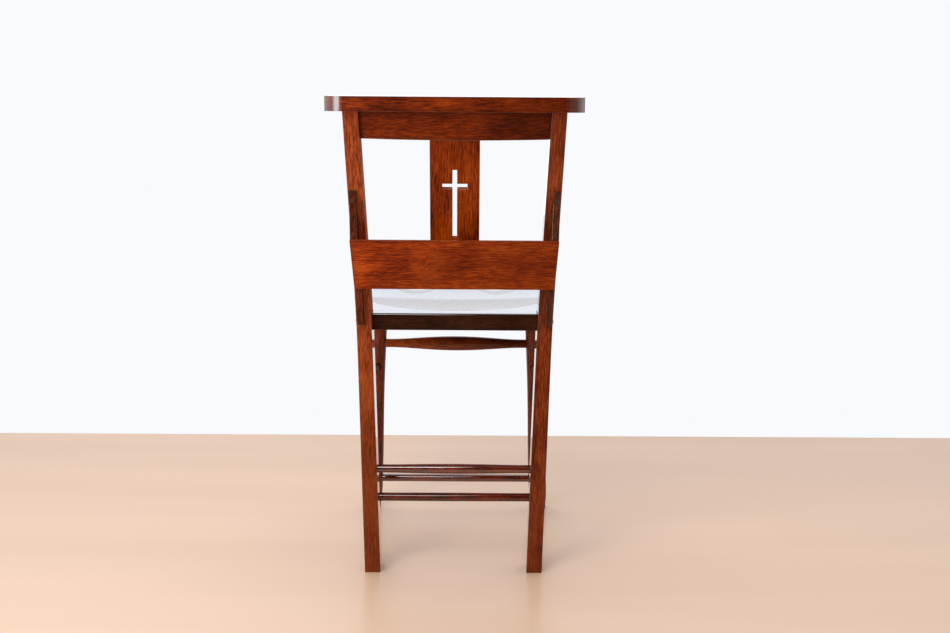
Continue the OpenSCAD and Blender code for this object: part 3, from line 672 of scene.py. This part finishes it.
def two_middles(node, low_share, high_share, normal=UP):
    """The middles of two slices, at shares of the way between the corners of a piece's box."""
    low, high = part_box(node)
    bm = joined_copy(node)
    ends = [middle_at(bm, low.lerp(high, share), normal) for share in (low_share, high_share)]
    bm.free()
    return ends


low, high = two_middles("splat", 0.1, 0.9)
lean = high - low
lean.x = 0
lean.normalize()
low, high = two_middles("pocket_panel", 0.3, 0.7)
slant = (high - low).normalized()
print("the back leans by", round(math.degrees(lean.angle(UP)), 1), "degrees")

# %% [markdown]
# The crest rail, the splat and the lower rail are sawn boards with lightly eased arrises, about one
# millimetre: enough to catch a thin line of light, which is what makes an edge look real. The
# edges of the cross that is cut through the splat are eased in the same pass.

# %% Rails and splat
ARRIS = 1.1 * MM


def eased_board(node, name, material, places, width=ARRIS):
    """A copy of a flat board with its arrises eased."""
    bm = joined_copy(node)
    ease(bm, width, no_bore)
    finish(bm, name, node, [material], places)


eased_board("crest_rail", "crest_rail_board", wood["board"], lying_along(SIDE, lean))
eased_board("lower_back_rail", "lower_rail_board", wood["board"], lying_along(SIDE, lean))
eased_board("splat", "splat_board", wood["splat"], lying_along(lean, SIDE))

# %% [markdown]
# The pocket is four boards: two sides on the posts, a slanting panel nailed across them and a strip
# that closes the bottom. They are eased as the rails are. The panel is what the eye meets first
# from behind, so it gets the warmest stain.

# %% Book pocket
for side in ("left", "right"):
    eased_board(f"{side}_pocket_side", f"{side}_pocket_board", wood[f"{side} side"],
                lying_along(lean, REAR))
eased_board("pocket_panel", "pocket_front_board", wood["panel"], lying_along(SIDE, slant))
eased_board("pocket_floor", "pocket_bottom_board", wood["seat"], lying_along(SIDE, REAR))

# %% [markdown]
# Each post is one long piece that bends at the seat. Its grain follows the bend, so the place in
# the board is measured from the post's own middle line. That line is found by slicing the post at
# many heights. The same heights are then cut into the finished mesh, so that a wide face has a row
# of vertices at each of them and the grain bends evenly.
# The faces that look inwards are more polished, and at a glancing look they mirror the wall. On the
# left post only the part below the seat does.

# %% Posts
POST_SLICES = 24
POST_ARRIS = 1.4 * MM
FLAT_SLOPE = 0.95
seat_low, seat_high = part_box("seat")


def middle_line(node):
    """Middle of a piece at evenly spaced heights."""
    low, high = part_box(node)
    bm = joined_copy(node)
    gap = (high.z - low.z) / POST_SLICES
    line = [middle_at(bm, UP * (low.z + gap * (i + 0.5)), UP) for i in range(POST_SLICES)]
    bm.free()
    return line


def off_line(line):
    """Takes a point to its place beside a middle line: height, then x and y off the line."""
    def places(p):
        below = max(0, min(len(line) - 2, sum(q.z < p.z for q in line) - 1))
        a, b = line[below], line[below + 1]
        middle = a.lerp(b, (p.z - a.z) / (b.z - a.z))
        return Vector((p.z, p.x - middle.x, p.y - middle.y))
    return places


for side in ("left", "right"):
    node = f"{side}_post"
    line = middle_line(node)
    bm = joined_copy(node)
    ease(bm, POST_ARRIS, no_bore)
    for point in line:
        slice_points(bm, point, UP)
    bm.normal_update()
    for face in bm.faces:
        inwards = -face.normal.x if side == "left" else face.normal.x
        lit = side == "right" or face.calc_center_median().z < seat_low.z
        face.material_index = int(inwards > FLAT_SLOPE and lit)
    outside = wood["left post" if side == "left" else "post"]
    finish(bm, f"{node}_wood", node, [outside, wood["post inside"]], places=off_line(line))

# %% [markdown]
# The seat starts as a sawn slab. Its outline is taken from the frame's seat by slicing that low
# down, where only the outline and the leg sockets show. The outline becomes one face, which is
# extruded to the slab's thickness, and its rims are rounded, but not where the slab is notched
# round the posts: there its edges stay sharp and close, as a joiner fits them. A BVH tree of each
# post answers how near an edge lies to it.

# %% Seat slab
SEAT_TOP_ROUND = 4.0 * MM
SEAT_ARRIS = 1.5 * MM
NOTCH_REACH = 4 * MM
SEAT_SKIN = 5 * MM
LEVEL_SLACK = 0.1 * MM


def outer_loop(node, height):
    """The outline of a piece at one height, as points in order from the foremost one."""
    bm = joined_copy(node)
    edges = sliced(bm, (0, 0, height), UP, bmesh.types.BMEdge)
    at = min((v for e in edges for v in e.verts), key=lambda v: v.co.y)
    loop = []
    while (step := next((e for e in at.link_edges if e in edges), None)) is not None:
        edges.remove(step)
        at = step.other_vert(at)
        loop.append(at.co.copy())
    bm.free()
    return loop


def sawn_slab(loop):
    """A slab as thick as the seat, with a given outline."""
    bm = bmesh.new()
    bm.faces.layers.float.new("lacquer")
    rim = [bm.verts.new((p.x, p.y, seat_low.z)) for p in loop]
    face = bmesh.ops.contextual_create(bm, geom=rim)["faces"]
    raised = bmesh.ops.extrude_face_region(bm, geom=face, use_keep_orig=True)["geom"]
    bmesh.ops.translate(bm, verts=[g for g in raised if isinstance(g, bmesh.types.BMVert)],
                        vec=(0, 0, seat_high.z - seat_low.z))
    bmesh.ops.recalc_face_normals(bm, faces=bm.faces[:])
    return bm


def tree_of(node):
    """A tree of a solid's faces, which finds the nearest one, or the first along a ray."""
    bm = joined_copy(node)
    tree = BVHTree.FromBMesh(bm)
    bm.free()
    return tree


def clear_of_posts(wanted):
    """Picks wanted edges that don't lie against a post."""
    trees = [tree_of("left_post"), tree_of("right_post")]
    return lambda edge: wanted(edge) and all(tree.find_nearest(middle_of(edge))[3] > NOTCH_REACH
                                             for tree in trees)


def on_top(edge):
    """The rim of the slab's top."""
    return min(v.co.z for v in edge.verts) > seat_high.z - LEVEL_SLACK


def below_top(edge):
    """The slab's lower rim and its upright corners."""
    return min(v.co.z for v in edge.verts) < seat_high.z - SEAT_SKIN


seat_outline = outer_loop("seat", seat_low.z + SEAT_SKIN)
seat_bm = sawn_slab(seat_outline)
ease(seat_bm, SEAT_TOP_ROUND, clear_of_posts(on_top), segments=4)
ease(seat_bm, SEAT_ARRIS, clear_of_posts(below_top))
print("seat outline:", len(seat_outline), "points")

# %% [markdown]
# Then the slab is carved. In the frame, the saddle is cut by one large ball and two round hollows,
# which meet in sharp lines. A carver's scraper and sandpaper leave no such line, so the depth at
# each point is averaged over a small circle round it. The slab is first sliced into a fine grid, so
# that there are vertices to push down. A ray shot down on the frame's seat finds how deep it lies.

# %% Carve the seat
GRID = 5.5 * MM
SCRAPED = 5.0 * MM
SCRAPED_SPOTS = 8
RAY_START = 100 * MM
CARVED_ABOVE_SHARE = 0.3
POLISHED_SLOPE = 0.35
seat_tree = tree_of("seat")


def carved_depth(x, y):
    """How far the carved top lies below the slab's top, or None beside the seat."""
    hit = seat_tree.ray_cast(Vector((x, y, seat_high.z + RAY_START)), -UP)[0]
    return None if hit is None or hit.z < seat_low.z + SEAT_SKIN else seat_high.z - hit.z


def scraped_depth(point):
    """The depth averaged over a small circle."""
    spots = [(point.x, point.y)]
    for i in range(SCRAPED_SPOTS):
        turn = math.tau * i / SCRAPED_SPOTS
        spots.append((point.x + SCRAPED * math.cos(turn), point.y + SCRAPED * math.sin(turn)))
    depths = [d for d in (carved_depth(*spot) for spot in spots) if d is not None]
    return sum(depths) / len(depths) if depths else 0.0


def grid_cuts(bm, low, high, normal):
    """Slices a mesh across one direction at an even pitch."""
    count = int((high - low) / GRID)
    for i in range(1, count):
        place = low + (high - low) * i / count
        slice_points(bm, normal * place, normal)


grid_cuts(seat_bm, seat_low.x, seat_high.x, SIDE)
grid_cuts(seat_bm, seat_low.y, seat_high.y, REAR)
for vert in seat_bm.verts:
    share = (vert.co.z - seat_low.z) / (seat_high.z - seat_low.z)
    if share > CARVED_ABOVE_SHARE:
        vert.co.z -= scraped_depth(vert.co) * share
seat_bm.normal_update()
for face in seat_bm.faces:
    face.material_index = int(face.normal.z > POLISHED_SLOPE)
finish(seat_bm, "seat_slab", "seat", [wood["seat"], wood["seat top"]],
       lying_along(SIDE, REAR))

# %% [markdown]
# Legs and stretchers are turned on a lathe. A lathe is a spin: half of the outline goes round the
# axis. The radius is measured on the frame's solid, by slicing it square to its axis at many
# places, and the list is smoothed a little, because the solid is made of short cones. The grain is
# stored before the piece is moved to its place, while its length still lies along x.

# %% The lathe
LATHE_STEPS = 48
AXIS_SHARE = 0.06
END_GAP = 0.02
POLE_GAP = 0.001 * MM


def axis_of(node, direction):
    """Two points on the axis of a straight round piece, at its ends, from two slices."""
    first, last = two_middles(node, AXIS_SHARE, 1 - AXIS_SHARE, direction)
    spare = (last - first) * AXIS_SHARE / (1 - 2 * AXIS_SHARE)
    return first - spare, last + spare


def radii_along(node, start, end, count):
    """Distance along the axis and radius there, at places between two points."""
    bm = joined_copy(node)
    axis = (end - start).normalized()
    rows = []
    for i in range(count + 1):
        point = start.lerp(end, (i + END_GAP) / (count + 2 * END_GAP))
        cut = slice_points(bm, point, axis)
        if cut:
            rows.append(((point - start).dot(axis), max((p - point).length for p in cut)))
    bm.free()
    return rows


def smoothed(rows, passes=2):
    """Evens out a list of radii and keeps its ends."""
    for _ in range(passes):
        rows = [rows[0]] + [(rows[i][0], (rows[i - 1][1] + 2 * rows[i][1] + rows[i + 1][1]) / 4)
                            for i in range(1, len(rows) - 1)] + [rows[-1]]
    return rows


def on_lathe(rows):
    """A closed bmesh turned about x, with its grain places stored. The half size that comes with
    it lets the rim group find the two ends alone."""
    bm = bmesh.new()
    rows = [(rows[0][0], 0.0)] + rows + [(rows[-1][0], 0.0)]
    verts = [bm.verts.new((along, radius, 0)) for along, radius in rows]
    edges = [bm.edges.new(pair) for pair in zip(verts, verts[1:])]
    bmesh.ops.spin(bm, geom=verts + edges, axis=SIDE, cent=(0, 0, 0), angle=math.tau,
                   steps=LATHE_STEPS, use_merge=True)
    bmesh.ops.remove_doubles(bm, verts=bm.verts[:], dist=POLE_GAP)
    layer = bm.verts.layers.float_vector.new("grain")
    half_run = rows[-1][0] / 2
    for vert in bm.verts:
        vert[layer] = vert.co - Vector((half_run, 0, 0))
    return bm, Vector((half_run, 0, 1))


def set_between(bm, start, end):
    """Moves a turned piece from the lathe to its place."""
    turn = (end - start).to_track_quat("X", "Z").to_matrix().to_4x4()
    bmesh.ops.transform(bm, matrix=Matrix.Translation(start) @ turn, verts=bm.verts[:])


print("lathe:", LATHE_STEPS, "steps to a full turn")

# %% [markdown]
# The stretchers' ends go into blind sockets and aren't seen. What shows is a plain bar with a
# slight swelling, and a stronger one on the upper bars. All eight come from the same lathe, in one
# loop.

# %% Stretchers
BAR_SLICES = 40
BARS = ("front_upper", "front_lower", "rear_upper", "rear_lower", "left_upper_side",
        "right_upper_side", "left_lower_side", "right_lower_side")
BAR_STAINS = {"front_upper": "front bar", "rear_lower": "low bar"}
for place in BARS:
    node = f"{place}_stretcher"
    start, end = axis_of(node, REAR if "side" in place else SIDE)
    bm, half = on_lathe(smoothed(radii_along(node, start, end, BAR_SLICES)))
    set_between(bm, start, end)
    stain = wood[BAR_STAINS.get(place, "bar")]
    finish(bm, f"{place}_bar", node, [stain], half=half)

# %% [markdown]
# A leg is turned like a bar, longer than it need be, and then cut off level at the floor and at the
# seat's underside, as it is on the real chair, because it stands at a slant. The lower rim of its
# foot is rounded, so that it doesn't splinter when the chair is dragged.

# %% Front legs
LEG_SLICES = 60
LEG_LEVELS = (0.2, 0.4)
LEG_FOOT_SHARE, LEG_TOP_SHARE = 0.012, 0.965
LEG_SPARE = 30 * MM
FOOT_ROUND = 2.0 * MM


def cut_off(bm, height, keep_above):
    """Cuts a piece level and closes the cut."""
    edges = sliced(bm, (0, 0, height), UP, bmesh.types.BMEdge, clear_inner=keep_above,
                   clear_outer=not keep_above)
    return bmesh.ops.contextual_create(bm, geom=edges)["faces"]


def leg_line(node):
    """The axis of a leg from the floor to the seat, from level slices."""
    bm = joined_copy(node)
    low, high = (middle_at(bm, UP * height, UP) for height in LEG_LEVELS)
    bm.free()
    run = (high - low) / (high.z - low.z)
    return low - run * low.z, low + run * (seat_low.z - low.z)


for side in ("left", "right"):
    node = f"{side}_front_leg"
    foot, top = leg_line(node)
    start = foot.lerp(top, LEG_FOOT_SHARE)
    rows = smoothed(radii_along(node, start, foot.lerp(top, LEG_TOP_SHARE), LEG_SLICES))
    rows = [(rows[0][0] - LEG_SPARE, rows[0][1])] + rows + [(rows[-1][0] + LEG_SPARE, rows[-1][1])]
    bm, half = on_lathe(rows)
    set_between(bm, start, top)
    cut_off(bm, seat_low.z, keep_above=False)
    sole = cut_off(bm, 0.0, keep_above=True)
    rim = [e for face in sole for e in face.edges]
    bmesh.ops.bevel(bm, geom=rim, offset=FOOT_ROUND, offset_type="OFFSET", segments=3, profile=0.5,
                    affect="EDGES", material=-1)
    finish(bm, f"{side}_leg_turning", node, [wood["leg"]], half=half)

# %% [markdown]
# Bolts, screws and pins are small, but a real chair shows them, and a driver has to fit them. Each
# is turned from the rings of points that the frame's solid has. The wood screws get a cross recess:
# slices mark the cross on the flat head, and its faces are pushed in and narrowed a little. The
# barrel nuts have a bore across them, so they are eased copies and not turned.

# %% Turned metal
RING_STEP = 0.02 * MM
RECESS_ARM = 2.1 * MM
RECESS_WIDTH = 0.9 * MM
RECESS_DEPTH = 1.1 * MM
RECESS_TAPER = 0.8
NUT_ARRIS = 0.4 * MM


def rings_along(points, axis):
    """Middle of a small turned piece, and its rings as pairs of place along the axis and radius."""
    side = axis.orthogonal().normalized()
    other = axis.cross(side)
    low, high = extent([(p.dot(axis), p.dot(side), p.dot(other)) for p in points])
    middle = side * (low.y + high.y) / 2 + other * (low.z + high.z) / 2
    rings = {}
    for p in points:
        along = round(p.dot(axis) / RING_STEP) * RING_STEP
        off = (p - middle - axis * p.dot(axis)).length
        rings[along] = max(off, rings.get(along, 0.0))
    start = min(rings)
    return middle + axis * start, [(along - start, rings[along]) for along in sorted(rings)]


def recessed(bm, length):
    """Presses a cross into the flat end of a turned piece."""
    for across in (REAR, UP):
        for place in (-RECESS_ARM, -RECESS_WIDTH / 2, RECESS_WIDTH / 2, RECESS_ARM):
            slice_points(bm, across * place, across)
    cross = []
    for face in bm.faces:
        at = face.calc_center_median()
        near, far = sorted((abs(at.y), abs(at.z)))
        if at.x > length - SAME_PLACE and near < RECESS_WIDTH / 2 and far < RECESS_ARM:
            cross.append(face)
    pushed = bmesh.ops.extrude_face_region(bm, geom=cross)["geom"]
    deep = [g for g in pushed if isinstance(g, bmesh.types.BMVert)]
    bmesh.ops.translate(bm, verts=deep, vec=(-RECESS_DEPTH, 0, 0))
    bmesh.ops.scale(bm, verts=deep, vec=(1, RECESS_TAPER, RECESS_TAPER))


def metal_pair(node, name, axis, material, recess=False):
    """Both copies of a turned metal piece, left and right."""
    whole = bmesh.new()
    for sign in (1, -1):
        points = [v.co for v in solids[node].data.vertices if v.co.x * sign > 0]
        run = Vector((axis.x * sign, axis.y, axis.z))
        start, rings = rings_along(points, run)
        bm, _ = on_lathe(rings)
        if recess:
            recessed(bm, rings[-1][0])
        set_between(bm, start, start + run)
        mesh = bpy.data.meshes.new("one_side")
        bm.to_mesh(mesh)
        bm.free()
        whole.from_mesh(mesh)
        bpy.data.meshes.remove(mesh)
    finish(whole, name, node, [material])


into_post = lean.cross(SIDE)
into_panel = slant.cross(SIDE)
metal_pair("seat_bolts", "seat_bolt_heads", SIDE, bright_zinc)
metal_pair("pocket_screws", "pocket_screw_pair", into_post, shaded_dull_steel, recess=True)
metal_pair("panel_pins", "panel_pin_pair", into_panel, shaded_dull_steel)
eased_board("barrel_nuts", "barrel_nut_pair", bright_zinc, None, NUT_ARRIS)

# %% [markdown]
# The chair stands in a white room on a pale, slightly glossy floor, where the feet leave a shadow
# and a faint reflection. The wall ends the floor where the photograph does. It is there only for the
# camera and for mirror images, and only from its front, so that a camera behind it sees through it.

# %% Floor and wall
REACH = 12.0
FLOOR_NOISE = (0.6, 5.0, 3.0)
FLOOR_DARK, FLOOR_LIGHT = (0.66, 0.438, 0.298, 1), (0.70, 0.470, 0.326, 1)
FLOOR_ROUGH = 0.30
WALL_Y = -0.775
WALL_HEIGHT = 5.0
WHITE = (0.945, 0.955, 0.985, 1)


def plain_sheet(name, corners, material):
    """A flat sheet of the room."""
    bm = bmesh.new()
    bm.faces.new([bm.verts.new(c) for c in corners])
    bm.normal_update()
    sheet = as_object(bm, name, [material])
    return sheet


def floor_material():
    """Pale varnish with a soft sheen."""
    material, tree, shader = new_material("pale_floor")
    place = put(tree, "ShaderNodeTexCoord").outputs["Object"]
    tone = ramp(tree, stretched_noise(tree, place, *FLOOR_NOISE), 0.3, 0.7)
    tree.links.new(mixed(tree, tone, FLOOR_DARK, FLOOR_LIGHT), shader.inputs["Base Color"])
    shader.inputs["Roughness"].default_value = FLOOR_ROUGH
    return material


def wall_material():
    """Plain white from the front, and clear from behind."""
    material, tree, _ = new_material("white_wall")
    white = put(tree, "ShaderNodeEmission", {"Color": WHITE, "Strength": 1.0})
    clear = put(tree, "ShaderNodeBsdfTransparent")
    back = put(tree, "ShaderNodeNewGeometry").outputs["Backfacing"]
    both = put(tree, "ShaderNodeMixShader", {0: back, 1: white.outputs[0], 2: clear.outputs[0]})
    tree.links.new(both.outputs[0], tree.nodes["Material Output"].inputs["Surface"])
    return material


plain_sheet("floor", [(-REACH, -REACH, 0), (REACH, -REACH, 0), (REACH, REACH, 0), (-REACH, REACH, 0)],
            floor_material())
wall = plain_sheet("wall", [(REACH, WALL_Y, 0), (-REACH, WALL_Y, 0), (-REACH, WALL_Y, WALL_HEIGHT),
                            (REACH, WALL_Y, WALL_HEIGHT)], wall_material())
wall.visible_shadow = False
wall.visible_diffuse = False
print("wall faces", tuple(round(c) for c in wall.data.polygons[0].normal))

# %% [markdown]
# The light is soft daylight. The world glows from the wall's side and a little less from above,
# which keeps the shadow under the seat light, and only dimly from behind the camera, where the real
# room is darker: that keeps the stain rich on faces that look back at the camera. Two lamps stand
# for the windows at the left. The high one draws the bright lines along the round bars, and the low
# one the light patch on the ledge's round corner. A wide one fills in from the front, and leaves no
# mirror image. A last one in front of the wall is for the seat, whose polished top mirrors it.

# %% World and lamps
FRONT_GLOW, REAR_GLOW = 1.06, 0.33
FRONT_IMAGE, REAR_IMAGE = 1.0, 0.04
GLOW_GAP = 20 * MM
GLOW_HEIGHT = 1.05


def white_world():
    """White to the camera, and dim from behind the camera as light and in mirror images."""
    world = bpy.data.worlds.new("studio")
    world.use_nodes = True
    tree = world.node_tree
    path = put(tree, "ShaderNodeLightPath").outputs
    way = put(tree, "ShaderNodeTexCoord").outputs["Generated"]
    toward_rear = put(tree, "ShaderNodeSeparateXYZ", {0: way}).outputs[1]
    glow = ramp(tree, toward_rear, -0.3, 0.5, FRONT_GLOW, REAR_GLOW)
    image = ramp(tree, toward_rear, -0.2, 0.6, FRONT_IMAGE, REAR_IMAGE)
    lit = mixed(tree, path["Is Glossy Ray"], glow, image)
    straight = sum_of(tree, "MAXIMUM", path["Is Camera Ray"], path["Is Transmission Ray"])
    tree.links.new(mixed(tree, straight, lit, WHITE), tree.nodes["Background"].inputs["Color"])
    bpy.context.scene.world = world


def soft_lamp(name, place, aim, size, watts, colour=(1, 1, 1)):
    """A large area lamp that points at a spot."""
    data = bpy.data.lights.new(name, "AREA")
    data.shape = "RECTANGLE"
    data.size, data.size_y = size
    data.energy = watts
    data.color = colour
    lamp = bpy.data.objects.new(name, data)
    turn = (Vector(aim) - Vector(place)).to_track_quat("-Z", "Y").to_matrix().to_4x4()
    lamp.matrix_world = Matrix.Translation(place) @ turn
    lamp.visible_camera = False
    bpy.context.scene.collection.objects.link(lamp)
    return lamp


white_world()
soft_lamp("high_window", place=(0.64, 1.60, 2.10), aim=(0, 0.1, 0.3), size=(1.4, 0.8), watts=22)
soft_lamp("low_window", place=(1.15, 1.50, 0.95), aim=(0, 0.1, 0.85), size=(1.05, 0.70), watts=17,
          colour=(0.92, 0.97, 1.0))
front_fill = soft_lamp("front_fill", place=(0.9, -2.6, 1.6), aim=(0, 0, 0.45), size=(2.6, 2.0),
                       watts=16)
front_fill.visible_glossy = False
soft_lamp("wall_glow", place=(0, WALL_Y + GLOW_GAP, GLOW_HEIGHT), aim=(0, 1, GLOW_HEIGHT),
          size=(2.6, 1.0), watts=5.4, colour=(0.76, 0.84, 1.0))
